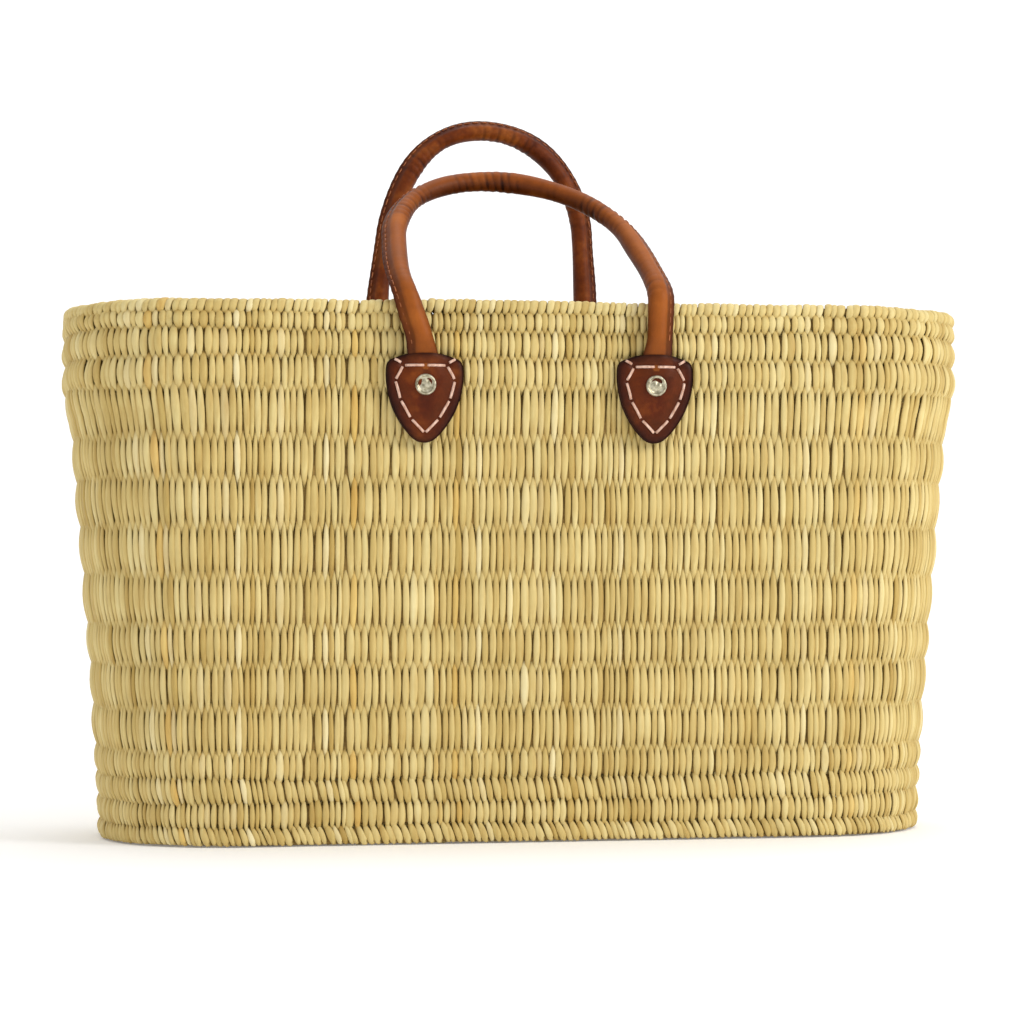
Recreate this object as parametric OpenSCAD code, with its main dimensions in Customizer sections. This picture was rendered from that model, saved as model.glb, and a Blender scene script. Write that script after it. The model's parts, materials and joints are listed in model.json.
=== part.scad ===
// Woven market basket with two leather carrying handles.
// Origin at the centre of the underside, +Z up, front of the basket towards -Y, millimetres.

/* [Basket] */
// Height from the underside to the top of the rim
basket_h = 280; // [220:5:360]
// Outside length at the rim
top_w = 484; // [400:2:640]
// Outside depth at the rim
top_d = 196; // [160:2:260]
// Outside length at the base
base_w = 446; // [370:2:600]
// Outside depth at the base
base_d = 166; // [130:2:230]
// Corner radius of the outside, seen from above
corner_r = 75; // [40:1:110]
// How far the rim band stands proud of the wall below it
rim_step = 2.5; // [0.5:0.5:5]

/* [Weave] */
// Thickness of one layer of upright reeds
reed_t = 2; // [1:0.2:3]
// Thickness of the core hoops inside the wall
core_t = 3.6; // [2:0.2:6]
// Height of the reeds that cross between one core hoop and the next
crossing_h = 2.4; // [1:0.2:4]
// Thickness of the base mat
base_t = 8; // [6.5:0.5:14]
// Free play of a core in its channel
core_play = 0.1; // [0.05:0.05:0.4]

/* [Handles] */
// Distance between the two legs of a handle, centre to centre
leg_span = 120; // [90:2:160]
// Straight length of a leg above the place where it bends
leg_h = 53; // [25:1:80]
// Radius of the leather cover of a handle
cover_r = 5; // [4:0.25:7]
// Thickness of the leather of the cover
cover_t = 1.6; // [1:0.1:2.2]
// How far the sewn seam stands out from the cover
seam_out = 3; // [2:0.25:5]
// Thickness of the sewn seam
seam_t = 3; // [2:0.25:4]
// Length of one stitch and the gap after it along the seam
seam_pitch = 5; // [4:0.5:9]
// Radius of the thread
thread_r = 0.4; // [0.2:0.05:0.6]
// Height above the rim at which a handle bends
bend_up = 4.5; // [4:0.5:12]
// Gap between the rim band and a handle leg
leg_gap = 0.5; // [0.3:0.1:3]
// Lean of the front handle towards the middle at rest, in degrees
front_lean = 53; // [0:1:55]
// Lean of the back handle towards the middle at rest, in degrees
back_lean = 0; // [0:1:55]

/* [Tabs and rivets] */
// Width of a leather tab
tab_w = 40; // [34:1:50]
// Height of a leather tab
tab_h = 46; // [42:1:60]
// Thickness of each of the two leather layers of a tab
tab_t = 2; // [1.5:0.1:3]
// Thickness of the flat end of a handle, sewn between the two layers
strap_t = 2.4; // [1.6:0.1:3.5]
// Width of that flat end
strap_w = 14; // [8:1:17]
// Distance of the rivets below the top of the rim
rivet_drop = 44; // [38:1:60]
// Distance of a rivet below the top edge of its tab
rivet_edge = 16.5; // [14:0.5:20]
// Radius of a rivet head
rivet_head_r = 5.5; // [4:0.25:7]
// Radius of a rivet post
rivet_r = 2; // [1.5:0.25:3]
// Clearance between a rivet post and its holes
rivet_play = 0.1; // [0.05:0.05:0.3]
// Radius of the leather patches inside the basket
patch_r = 13; // [9:0.5:18]
// Thickness of the leather patches
patch_t = 2; // [1:0.25:3]

/* [Hidden] */
$fn = 64;
// Row heights from the base up, in proportion: narrow at the base and rim, tall in the middle
row_share = [10, 12, 12, 14, 22, 22, 20, 26, 25, 24, 22, 25, 16, 14, 10, 6];
rows = len(row_share);
band_rows = 4;              // the topmost rows form the rim band, the last of them being the binding
hoops = rows - 1;
wall_t = 2 * reed_t + core_t;
base_rings = 3;
// The base stays narrower than the rim, so that the walls lean outwards and the patches clear them
base_depth = min(base_d, top_d - 30);
// The corner rounding is limited by the depth of the base
corner = min(corner_r, base_depth / 2 - 2);

// Sum of the first n entries of a list
function total(v, n) = n == 0 ? 0 : v[n - 1] + total(v, n - 1);
// Height of the lower edge of row i, counted from 0 at the base
function row_z(i) = basket_h * total(row_share, i) / total(row_share, rows);
band_z = row_z(rows - band_rows);

// The wall widens from the base to the band, a little faster towards the top
function flare(z) = pow(z / band_z, 1.2);
function wall_half(z, base, top) = base / 2 + (top / 2 - rim_step - base / 2) * flare(z);
function in_band(i) = i >= rows - band_rows;
function row_mid(i) = (row_z(i) + row_z(i + 1)) / 2;
// Outside half length, outside half depth and thickness of row i
function row_hw(i) = in_band(i) ? top_w / 2 : wall_half(row_mid(i), base_w, top_w);
function row_hd(i) = in_band(i) ? top_d / 2 : wall_half(row_mid(i), base_depth, top_d);
function row_t(i) = in_band(i) ? wall_t + rim_step : wall_t;
// Row that holds a height z
function row_at(z, i = 0) = i >= rows - 1 || z < row_z(i + 1) ? i : row_at(z, i + 1);

// Handle bend axis
axis_y = top_d / 2 + leg_gap + cover_r;
axis_z = basket_h + bend_up;
loop_r = leg_span / 2;
rope_r = cover_r - cover_t;
rope_play = 0.1;
// A fixed leg ends this far below the bend axis, clear of the swinging leg at every angle
foot_drop = cover_r * 1.5 + 0.1;

// Tab and rivet places
rivet_z = basket_h - rivet_drop;
tab_top = rivet_z + rivet_edge;
tab_y = top_d / 2 + 0.1;
strap_y = tab_y + tab_t;
front_y = strap_y + strap_t;
tab_face_y = front_y + tab_t;
strap_len = rivet_edge + 12;
patch_row = row_at(rivet_z - patch_r);
patch_y = row_hd(patch_row) - row_t(patch_row) - 0.1;
washer_t = 1.2;
washer_r = rivet_head_r - 0.5;

// Stitch holes of a tab, about the rivet, from the middle of the top to the tip
stitch_path = [[0, 9.8], [11.2, 9.8], [15.4, 2.2], [12.7, -7.7], [7.2, -17.3], [0, -24.7]];
ear_stitch = [[11.9, 10.9], [16.2, 13.4]];

sides = [["front", -1], ["back", 1]];
ends = [["left", -1], ["right", 1]];
function two(i) = str(i < 10 ? "0" : "", i);
function hoop_name(i) = str("core_hoop_", two(i + 1));
function at_corner(kind) = [for (s = sides, e = ends) str(s[0], "_", e[0], "_", kind)];

straw = [0.80, 0.71, 0.46];
straw_dark = [0.62, 0.52, 0.30];
leather = [0.50, 0.24, 0.08];
leather_dark = [0.33, 0.14, 0.07];
rope_cream = [0.85, 0.78, 0.62];
thread_pink = [0.87, 0.73, 0.65];
nickel = [0.70, 0.66, 0.56];

// Rectangle with round corners, centred
module round_rect(hw, hd, r) {
    square([2 * (hw - r), 2 * hd], center = true);
    square([2 * hw, 2 * (hd - r)], center = true);
    for (x = [-1, 1], y = [-1, 1])
        translate([x * (hw - r), y * (hd - r)])
            circle(r);
}

// Closed ring whose outside is inset by a from the outside of row i, t thick
module row_ring(i, a, t, z, h) {
    r = corner - a;
    translate([0, 0, z])
        linear_extrude(h)
            difference() {
                round_rect(row_hw(i) - a, row_hd(i) - a, r);
                round_rect(row_hw(i) - a - t, row_hd(i) - a - t, r - t);
            }
}

module core_channel(i, play) {
    row_ring(i, reed_t - play, row_t(i) - 2 * reed_t + 2 * play,
        row_z(i) + crossing_h / 2, row_z(i + 1) - row_z(i) - crossing_h);
}

// Puts its children at the four rivets, with +Y pointing out of the basket
module at_rivets() {
    for (s = sides, e = ends)
        at_rivet(s[1], e[1])
            children();
}

module at_rivet(side, end) {
    translate([end * leg_span / 2, 0, rivet_z])
        scale_side(side)
            children();
}

module scale_side(side) {
    mirror([0, side < 0 ? 1 : 0, 0])
        children();
}

module rivet_bore() {
    rotate([-90, 0, 0])
        translate([0, 0, patch_y - 4 * patch_t])
            cylinder(r = rivet_r + rivet_play, h = tab_face_y - patch_y + 8 * patch_t);
}

// Upright reeds: one closed basket wall with a channel for every core hoop
module wall_reeds() {
    color(straw)
        difference() {
            for (i = [0:hoops - 1])
                row_ring(i, 0, row_t(i), row_z(i), row_z(i + 1) - row_z(i));
            for (i = [0:hoops - 1])
                core_channel(i, core_play);
            at_rivets()
                rivet_bore();
        }
}

module core_hoop(i) {
    color(straw_dark)
        difference() {
            core_channel(i, 0);
            at_rivets()
                rivet_bore();
        }
}

// Slanted wraps that close the rim over its own core
module rim_binding() {
    i = rows - 1;
    color(straw)
        difference() {
            row_ring(i, 0, row_t(i), row_z(i), row_z(rows) - row_z(i));
            core_channel(i, core_play);
        }
}

module rim_core() {
    color(straw_dark)
        core_channel(rows - 1, 0);
}

// Base mat, inside the lowest row of the wall
base_gap = 0.2;
mat_in = wall_t + base_gap;
mat_hd = row_hd(0) - mat_in;
ring_gap = 4;
ring_pitch = (mat_hd - ring_gap) / (base_rings + 0.6);

module mat_shape(inset) {
    r = corner - mat_in - inset;
    if (r > 3)
        round_rect(row_hw(0) - mat_in - inset, mat_hd - inset, r);
    else
        square(2 * [row_hw(0) - mat_in - inset, mat_hd - inset], center = true);
}

module base_core(k, play) {
    outer = ring_gap + (k - 1) * ring_pitch;
    translate([0, 0, reed_t])
        linear_extrude(base_t - 2 * reed_t)
            difference() {
                mat_shape(outer - play);
                if (k <= base_rings)
                    mat_shape(outer + ring_pitch - ring_gap + play);
            }
}

module base_reeds() {
    color(straw)
        difference() {
            linear_extrude(base_t)
                mat_shape(0);
            for (k = [1:base_rings + 1])
                base_core(k, core_play);
        }
}

// Cross-section of a handle: a round cover and the sewn seam on its outer side
module cover_shape() {
    circle(cover_r);
    translate([0, -seam_t / 2])
        square([cover_r + seam_out, seam_t]);
}

// Carries a cross-section up one leg, round the grip and down the other leg
module along_handle() {
    for (end = [0, 1])
        mirror([end, 0, 0])
            translate([loop_r, 0, 0])
                linear_extrude(leg_h)
                    children();
    translate([0, 0, leg_h])
        rotate([90, 0, 0])
            rotate_extrude(angle = 180, $fn = 96)
                translate([loop_r, 0])
                    children();
}

// Places a handle on its bend axis with its lean
module on_axis(side, lean) {
    scale_side(side)
        translate([0, axis_y, axis_z])
            rotate([lean, 0, 0])
                children();
}

module handle_cover(side, lean) {
    color(leather)
        on_axis(side, lean)
            difference() {
                union() {
                    along_handle()
                        cover_shape();
                    for (x = [-loop_r, loop_r])
                        translate([x, 0, 0])
                            sphere(cover_r);
                }
                along_handle()
                    circle(rope_r + rope_play);
            }
}

module handle_rope(side, lean) {
    color(rope_cream)
        on_axis(side, lean)
            along_handle()
                circle(rope_r);
}

// Running stitch along the seam, now on one face and now on the other
module handle_seam_thread(side, lean) {
    across = cover_r + seam_out * 0.6;
    off = seam_t / 2 + thread_r + 0.05;
    on_leg = floor((leg_h - 4) / seam_pitch);
    arc_r = loop_r + across;
    on_arc = floor(PI * arc_r / seam_pitch);
    stitch_deg = 0.6 * 180 / on_arc;
    color(thread_pink)
        on_axis(side, lean) {
            for (end = [0, 1], k = [0:on_leg - 1])
                mirror([end, 0, 0])
                    translate([arc_r, (k % 2 == 0 ? 1 : -1) * off, 3 + k * seam_pitch])
                        cylinder(r = thread_r, h = 0.6 * seam_pitch, $fn = 16);
            for (k = [0:on_arc - 1])
                translate([0, (k % 2 == 0 ? 1 : -1) * off, leg_h])
                    rotate([90, 0, 0])
                        rotate([0, 0, (k + 0.2) * 180 / on_arc])
                            rotate_extrude(angle = stitch_deg, $fn = 96)
                                translate([arc_r, 0])
                                    circle(thread_r, $fn = 16);
        }
}

// Fixed lower end of a leg: round above the tab, flat and riveted inside it
module handle_foot(side, end) {
    foot_z = tab_top + 0.2 - rivet_z;
    color(leather)
        at_rivet(side, end)
            difference() {
                union() {
                    translate([0, axis_y, foot_z])
                        cylinder(r = cover_r, h = axis_z - foot_drop - rivet_z - foot_z);
                    translate([-strap_w / 2, strap_y, rivet_edge - strap_len])
                        cube([strap_w, strap_t, strap_len + 4]);
                }
                rivet_bore();
            }
}

// Outline of a tab about its rivet, in X and Z: two long arcs meet in a round tip
module tab_shape(w, round_r) {
    tip = tab_h - rivet_edge;
    rise = 5;
    arc_r = (pow(tip + rise, 2) + pow(w / 2, 2)) / w * 1.06;
    offset(r = round_r)
        offset(delta = -round_r)
            intersection() {
                translate([w / 2 - arc_r, rise])
                    circle(arc_r, $fn = 96);
                translate([arc_r - w / 2, rise])
                    circle(arc_r, $fn = 96);
                translate([-w / 2, -tip])
                    square([w, tab_h]);
            }
}

module tab_slab(y, t) {
    translate([0, y + t, 0])
        rotate([90, 0, 0])
            linear_extrude(t)
                tab_shape(tab_w, 4);
}

// Outer leather layer, hollowed where it covers the flat end of the handle
module tab_outer(side, end) {
    play = 0.1;
    color(leather_dark)
        at_rivet(side, end)
            difference() {
                tab_slab(strap_y + play / 2, strap_t + tab_t - play / 2);
                translate([-strap_w / 2 - play, strap_y - 1, rivet_edge - strap_len - play])
                    cube([strap_w + 2 * play, strap_t + 1 + play, strap_len + 5]);
                rivet_bore();
            }
}

module tab_inner(side, end) {
    color(leather_dark)
        at_rivet(side, end)
            difference() {
                tab_slab(tab_y, tab_t - 0.05);
                rivet_bore();
            }
}

module stitch(from, to) {
    run = to - from;
    length = norm(run);
    hole = 0.7;
    translate([from[0], tab_face_y + thread_r * 1.5 + 0.05, from[1]])
        rotate([0, atan2(run[0], run[1]), 0])
            translate([0, 0, hole])
                cylinder(r = thread_r * 1.5, h = length - 2 * hole, $fn = 16);
}

module tab_thread(side, end) {
    color(thread_pink)
        at_rivet(side, end)
            for (m = [0, 1])
                mirror([m, 0, 0]) {
                    for (k = [0:len(stitch_path) - 2])
                        stitch(stitch_path[k], stitch_path[k + 1]);
                    stitch(ear_stitch[0], ear_stitch[1]);
                }
}

module inside_patch(side, end) {
    color(leather_dark)
        at_rivet(side, end)
            difference() {
                translate([0, patch_y - patch_t, 0])
                    rotate([-90, 0, 0])
                        cylinder(r = patch_r, h = patch_t);
                rivet_bore();
            }
}

// Rivet: ring-edged head outside, post through every layer, spread tail inside
module rivets() {
    head_t = 1.8;
    tail = patch_y - patch_t - washer_t - 0.2;
    color(nickel)
        at_rivets()
            rotate([-90, 0, 0])
                difference() {
                    union() {
                        translate([0, 0, tab_face_y + 0.05])
                            cylinder(r = rivet_head_r, h = head_t);
                        translate([0, 0, tail])
                            cylinder(r = rivet_r, h = tab_face_y + 1 - tail);
                        translate([0, 0, tail - 1])
                            cylinder(r = rivet_r + 1, h = 1);
                    }
                    translate([0, 0, tab_face_y + head_t - 0.5])
                        cylinder(r = rivet_head_r - 1.3, h = 1);
                }
}

module rivet_washers() {
    color(nickel)
        at_rivets()
            rotate([-90, 0, 0])
                translate([0, 0, patch_y - patch_t - washer_t - 0.1])
                    difference() {
                        cylinder(r = washer_r, h = washer_t);
                        translate([0, 0, -1])
                            cylinder(r = rivet_r + rivet_play, h = washer_t + 2);
                    }
}

wall_reeds();
rim_binding();
rim_core();
base_reeds();
color(straw_dark) base_core(base_rings + 1, 0);  // base_core_bar
for (k = [1:base_rings])
    color(straw_dark) base_core(k, 0);
for (i = [0:hoops - 1])
    core_hoop(i);
for (s = sides) {
    lean = s[1] < 0 ? front_lean : back_lean;
    handle_cover(s[1], lean);
    handle_rope(s[1], lean);
    handle_seam_thread(s[1], lean);
}
for (s = sides, e = ends) {
    corner = str(s[0], "_", e[0], "_");
    handle_foot(s[1], e[1]);
    tab_outer(s[1], e[1]);
    tab_inner(s[1], e[1]);
    tab_thread(s[1], e[1]);
    inside_patch(s[1], e[1]);
}
rivets();
rivet_washers();
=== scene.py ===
import json
import math
import bpy
import numpy as np
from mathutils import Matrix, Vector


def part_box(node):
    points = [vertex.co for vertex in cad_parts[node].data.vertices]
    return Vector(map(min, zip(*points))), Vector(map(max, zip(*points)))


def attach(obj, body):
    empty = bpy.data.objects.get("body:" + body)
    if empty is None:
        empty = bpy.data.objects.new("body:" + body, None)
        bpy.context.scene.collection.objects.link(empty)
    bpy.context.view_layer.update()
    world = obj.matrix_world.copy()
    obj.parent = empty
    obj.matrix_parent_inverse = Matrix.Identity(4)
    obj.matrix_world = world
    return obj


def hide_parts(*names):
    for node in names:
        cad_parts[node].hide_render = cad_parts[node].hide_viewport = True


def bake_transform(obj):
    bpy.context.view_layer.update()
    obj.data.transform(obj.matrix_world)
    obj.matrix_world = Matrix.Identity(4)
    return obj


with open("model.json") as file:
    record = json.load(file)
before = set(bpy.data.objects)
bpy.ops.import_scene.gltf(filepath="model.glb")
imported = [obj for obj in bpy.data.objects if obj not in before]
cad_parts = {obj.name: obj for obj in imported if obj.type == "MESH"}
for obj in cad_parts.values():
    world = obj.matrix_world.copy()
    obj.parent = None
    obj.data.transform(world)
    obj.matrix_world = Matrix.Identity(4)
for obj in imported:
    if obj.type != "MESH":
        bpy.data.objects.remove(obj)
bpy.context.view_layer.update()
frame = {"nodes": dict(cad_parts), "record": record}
rng = np.random.default_rng(11)

# ---------------------------------------------------------------- sizes, metres
MM = 0.001
REED_T = 2 * MM              # thickness of a reed
CROSSING = 1.2 * MM          # a core hoop ends this far from the edge of its row
CORNER = 75 * MM             # corner radius of the basket
WALL_T = 7.6 * MM            # thickness of the woven wall
BAND_T = WALL_T + 2.5 * MM   # and of the band under the rim
MID_Z = 140 * MM             # half the height of the basket
REED_PITCH = 1.80 * MM       # one upright reed to the next, round the wall at half height
REACH = 0.24                 # a reed stays in sight this share of a row beyond its edges
RINGS = 10                   # cross-sections of one reed in one row
FLOOR_GAP = 1.8 * MM         # the centre of a reed stays this high above the floor
WANDER = 0.9 * MM            # how far the rows and the rim wander up and down
STRAIGHT = 0.45              # share of a quarter of the wall, from its middle, where the reeds are parallel
TUBE_R = 5 * MM              # radius of a handle
ROPE_R = 3.2 * MM            # radius of the rope inside it
SEAM_OUT = 3 * MM            # how far the sewn seam stands out from it
BEND_SOFT = 9 * MM           # length over which a handle turns at its bend
UNDER_TAB = 9 * MM           # the flat end of a handle shown inside its tab
TAB_W = 40 * MM
TAB_EDGE = 16.5 * MM         # rivet to the top edge of a tab
TAB_TIP = 29.5 * MM          # rivet to the tip of a tab
BACKING_T = 1.4 * MM         # thickness of a tab's backing
THREAD_R = 0.62 * MM         # radius of the thread round a tab
SEAM_THREAD_R = 0.32 * MM    # radius of the thread along a handle
UPRIGHT = np.array([0.0, 0.0, 1.0])
SIDES = {"front": -1, "back": 1}
ENDS = {"left": -1, "right": 1}


def node_box(node):
    low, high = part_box(node)
    return np.array(low), np.array(high)


# Rows of the wall, read from the core hoops: lower edge, upper edge, half length, half depth
hoop_names = sorted(n for n in frame["nodes"] if n.startswith("core_hoop_"))
ROWS = []
for hoop in hoop_names:
    low, high = node_box(hoop)
    ROWS.append([low[2] - CROSSING, high[2] + CROSSING, high[0] + REED_T, high[1] + REED_T])
BAND_HW, BAND_HD = ROWS[-1][2:]
BAND_FIRST = next(i for i, row in enumerate(ROWS) if row[2] > BAND_HW - 0.1 * MM)
RIM_Z = float(node_box("rim_binding")[1][2])
BASE_T = float(node_box("base_reeds")[1][2])
row_edges = [row[0] for row in ROWS] + [ROWS[-1][1]]
row_edges[0] = 0.0

# Outside size of the basket at every height
mids = [(row[0] + row[1]) / 2 for row in ROWS]
level_z = mids[:BAND_FIRST] + [ROWS[BAND_FIRST][0] + 1 * MM, RIM_Z]
level_hw = [row[2] for row in ROWS[:BAND_FIRST]] + [BAND_HW, BAND_HW]
level_hd = [row[3] for row in ROWS[:BAND_FIRST]] + [BAND_HD, BAND_HD]


def hw_at(z):
    """Half the length of the basket at this height."""
    return np.interp(z, level_z, level_hw)


def hd_at(z):
    """Half its depth."""
    return np.interp(z, level_z, level_hd)


# ---------------------------------------------------------------- outline of the basket
def smooth_step(t):
    t = np.clip(t, 0, 1)
    return t * t * (3 - 2 * t)


def quarter_length(hw, hd, r):
    """Length of a quarter of the outline, from the middle of a long side to the middle of an end."""
    return hw - r + math.pi / 2 * r + hd - r


QUARTER = quarter_length(float(hw_at(MID_Z)), float(hd_at(MID_Z)), CORNER)
PERIMETER = 4 * QUARTER


def outline(f, hw, hd, r, quarter_run=QUARTER):
    """Point and outward normal at fraction f of the way round, from the middle of the front rightwards."""
    s = (f % 1.0) * 4
    quarter = np.minimum(s.astype(int), 3)
    share = s - quarter
    # share is 0 in the middle of a side and 1 in the middle of an end
    share = np.where(quarter % 2 == 0, share, 1 - share)
    flat_x, flat_y, arc = hw - r, hd - r, math.pi / 2 * r
    # Reeds stand upright on the long sides; what the wall gains higher up is taken up round the corners
    gain = flat_x + arc + flat_y - quarter_run
    run = share * quarter_run + gain * smooth_step((share - STRAIGHT) / (1 - STRAIGHT))
    turn = np.clip((run - flat_x) / arc, 0, 1) * math.pi / 2
    sign_x = np.where(quarter < 2, 1, -1)
    sign_y = np.where((quarter == 1) | (quarter == 2), 1, -1)
    nx, ny = sign_x * np.sin(turn), sign_y * np.cos(turn)
    x = sign_x * np.minimum(run, flat_x) + nx * r
    y = sign_y * (flat_y - np.clip(run - flat_x - arc, 0, None)) + ny * r
    return x, y, nx, ny


def stretch(f, hw, hd, r):
    """How far apart the reeds stand at f, beside how they stand at half height."""
    step = 0.0005
    ahead, behind = outline(f + step, hw, hd, r), outline(f - step, hw, hd, r)
    return np.hypot(ahead[0] - behind[0], ahead[1] - behind[1]) / (2 * step * PERIMETER)


def wobble(f, seed, size):
    """Slow hand-made waviness round the basket."""
    a = 2 * math.pi * f
    w = np.sin(3 * a + seed * 1.7) + 0.7 * np.sin(7 * a + seed * 2.9) + 0.5 * np.sin(16 * a + seed * 5.1)
    return size * w / 2.2


# ---------------------------------------------------------------- mesh helpers
def grid_faces(rings, sides):
    """Faces of a skin of rings x sides vertices: the quads round it and the two end caps."""
    grid = np.arange(rings * sides).reshape(rings, sides)
    nxt = np.roll(grid, -1, axis=1)
    quads = np.stack([grid[:-1], nxt[:-1], nxt[1:], grid[1:]], -1).reshape(-1, 4)
    return quads, np.stack([grid[0, ::-1], grid[-1]])


def mesh_object(name, verts, quads, caps=None, uv=None, facts=None):
    """Object from arrays. caps is a second array of polygons with another number of corners."""
    mesh = bpy.data.meshes.new(name)
    groups = [np.asarray(quads)] + ([np.asarray(caps)] if caps is not None and len(caps) else [])
    loops = np.concatenate([g.ravel() for g in groups])
    totals = np.concatenate([np.full(len(g), g.shape[1]) for g in groups])
    starts = np.concatenate([[0], np.cumsum(totals)[:-1]])
    mesh.vertices.add(len(verts))
    mesh.vertices.foreach_set("co", np.asarray(verts, np.float32).ravel())
    mesh.loops.add(len(loops))
    mesh.loops.foreach_set("vertex_index", loops.astype(np.int32))
    mesh.polygons.add(len(totals))
    mesh.polygons.foreach_set("loop_start", starts.astype(np.int32))
    if uv is not None:
        layer = mesh.uv_layers.new(name="OFBake")
        layer.data.foreach_set("uv", uv.astype(np.float32).ravel())
    for key, values in (facts or {}).items():
        layer = mesh.attributes.new(key, "FLOAT", "POINT")
        layer.data.foreach_set("value", np.asarray(values, np.float32).ravel())
    mesh.update(calc_edges=True)
    mesh.validate()
    mesh.polygons.foreach_set("use_smooth", np.full(len(mesh.polygons), True))
    obj = bpy.data.objects.new(name, mesh)
    bpy.context.scene.collection.objects.link(obj)
    return obj


# Cross-section of a reed: round on its visible side, nearly flat behind
REED_ANGLES = np.radians([-12, 28, 65, 90, 115, 152, 192, 270])
FLAT_BACK = -0.55            # how far the back lies from the middle, as a share of half the thickness
EDGE_SHADE = 0.82            # how much painted shade darkens the two edges of a reed


def round_angles(count):
    return np.arange(count) * 2 * math.pi / count


def unit(vectors):
    return vectors / np.linalg.norm(vectors, axis=-1, keepdims=True)


def tubes(name, centre, across, out, half_w, half_t, facts, angles=REED_ANGLES, closed=False):
    """Many strands at once. centre, across and out are (strands, rings, 3); half_w, half_t (strands, rings)."""
    n, rings, _ = centre.shape
    sides = len(angles)
    c, s = np.cos(angles), np.sin(angles)
    s = np.where(s < -0.9, FLAT_BACK, s)
    verts = (centre[:, :, None, :]
             + across[:, :, None, :] * (half_w[:, :, None] * c)[..., None]
             + out[:, :, None, :] * (half_t[:, :, None] * s)[..., None])
    grid = np.arange(n * rings * sides).reshape(n, rings, sides)
    nxt = np.roll(grid, -1, axis=2)
    last = rings if closed else rings - 1
    up = np.roll(grid, -1, axis=1)[:, :last]
    up_nxt = np.roll(nxt, -1, axis=1)[:, :last]
    quads = np.stack([grid[:, :last], nxt[:, :last], up_nxt, up], axis=-1).reshape(-1, 4)
    caps = None if closed else np.concatenate([grid[:, 0, ::-1], grid[:, -1]])
    # Each strand gets its own cell of the texture
    columns = max(1, int(math.ceil(math.sqrt(n * 0.62 if not closed else n))))
    lines = int(math.ceil(n / columns))
    cell_x = (np.arange(n) % columns) / columns
    cell_y = (np.arange(n) // columns) / lines
    side_no = np.broadcast_to(np.arange(sides)[None, None, :], (n, last, sides))
    ring_no = np.broadcast_to(np.arange(last)[None, :, None], (n, last, sides))
    corners = [(0, 0), (1, 0), (1, 1), (0, 1)]
    uv = np.stack([np.stack([
        cell_x[:, None, None] + (0.06 + 0.88 * (side_no + du) / sides) / columns,
        cell_y[:, None, None] + (0.04 + 0.92 * (ring_no + dv) / last) / lines], -1)
        for du, dv in corners], axis=-2).reshape(-1, 2)
    if caps is not None:
        middle = np.stack([cell_x + 0.5 / columns, cell_y + 0.05 / lines], -1)
        spread = 0.01 * np.stack([c / columns, s / lines], -1)
        cap_uv = (middle[:, None, :] + spread[None]).reshape(-1, 2)
        uv = np.concatenate([uv, cap_uv, cap_uv])
    spread_facts = {k: np.broadcast_to(v[:, :, None], (n, rings, sides)) for k, v in facts.items()}
    if "deep" in facts:
        # Painted shade: a strand is darker along both edges, where the next one shades it
        spread_facts["deep"] = np.maximum(spread_facts["deep"], EDGE_SHADE * np.abs(c) ** 4)
    return mesh_object(name, verts.reshape(-1, 3), quads, caps, uv, spread_facts)


def lathe(name, profile, place, turns=48):
    """Closed body of revolution. profile is (radius, height) from axis to axis; place maps (n, 3) points."""
    profile = np.array(profile, float)
    a = round_angles(turns)
    verts = np.stack([profile[:, :1] * np.cos(a), profile[:, :1] * np.sin(a),
                      np.broadcast_to(profile[:, 1:], (len(profile), turns))], -1)
    return mesh_object(name, place(verts.reshape(-1, 3)), *grid_faces(len(profile), turns))


# ---------------------------------------------------------------- materials
def new_material(name):
    mat = bpy.data.materials.new(name)
    mat.use_nodes = True
    tree = mat.node_tree
    return mat, tree, tree.nodes["Principled BSDF"]


def add(tree, kind, inputs=None, **settings):
    node = tree.nodes.new(kind)
    for key, value in settings.items():
        setattr(node, key, value)
    for key, value in (inputs or {}).items():
        if isinstance(value, bpy.types.NodeSocket):
            tree.links.new(value, node.inputs[key])
        else:
            node.inputs[key].default_value = value
    return node


def ramp(tree, factor, stops):
    node = add(tree, "ShaderNodeValToRGB", {"Fac": factor})
    elements = node.color_ramp.elements
    while len(elements) < len(stops):
        elements.new(0.5)
    for element, (at, colour) in zip(elements, stops):
        element.position = at
        element.color = (*colour, 1)
    return node.outputs["Color"]


def mix(tree, factor, a, b, mode="MIX"):
    node = add(tree, "ShaderNodeMix", data_type="RGBA", blend_type=mode)
    for index, value in ((0, factor), (6, a), (7, b)):
        if isinstance(value, bpy.types.NodeSocket):
            tree.links.new(value, node.inputs[index])
        else:
            node.inputs[index].default_value = value if index == 0 else (*value, 1)
    return node.outputs[2]


def noise(tree, scale, detail=3.0, along=None, rough=0.55):
    """Noise in the object's own space; along scales each axis, so that a small number draws it out."""
    coords = add(tree, "ShaderNodeTexCoord").outputs["Object"]
    if along:
        coords = add(tree, "ShaderNodeMapping", {"Vector": coords, "Scale": along}).outputs["Vector"]
    inputs = {"Vector": coords, "Scale": scale, "Detail": detail, "Roughness": rough}
    return add(tree, "ShaderNodeTexNoise", inputs).outputs["Fac"]


def to_input(tree, value, bsdf, name):
    tree.links.new(value, bsdf.inputs[name])


def roughness_from(tree, bsdf, value, low, high):
    node = add(tree, "ShaderNodeMapRange", {"Value": value, "To Min": low, "To Max": high})
    to_input(tree, node.outputs["Result"], bsdf, "Roughness")


def bump_from(tree, bsdf, height, strength, distance, below=None):
    inputs = {"Strength": strength, "Distance": distance, "Height": height}
    if below is not None:
        inputs["Normal"] = below
    node = add(tree, "ShaderNodeBump", inputs)
    if bsdf is not None:
        to_input(tree, node.outputs["Normal"], bsdf, "Normal")
    return node.outputs["Normal"]


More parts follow.
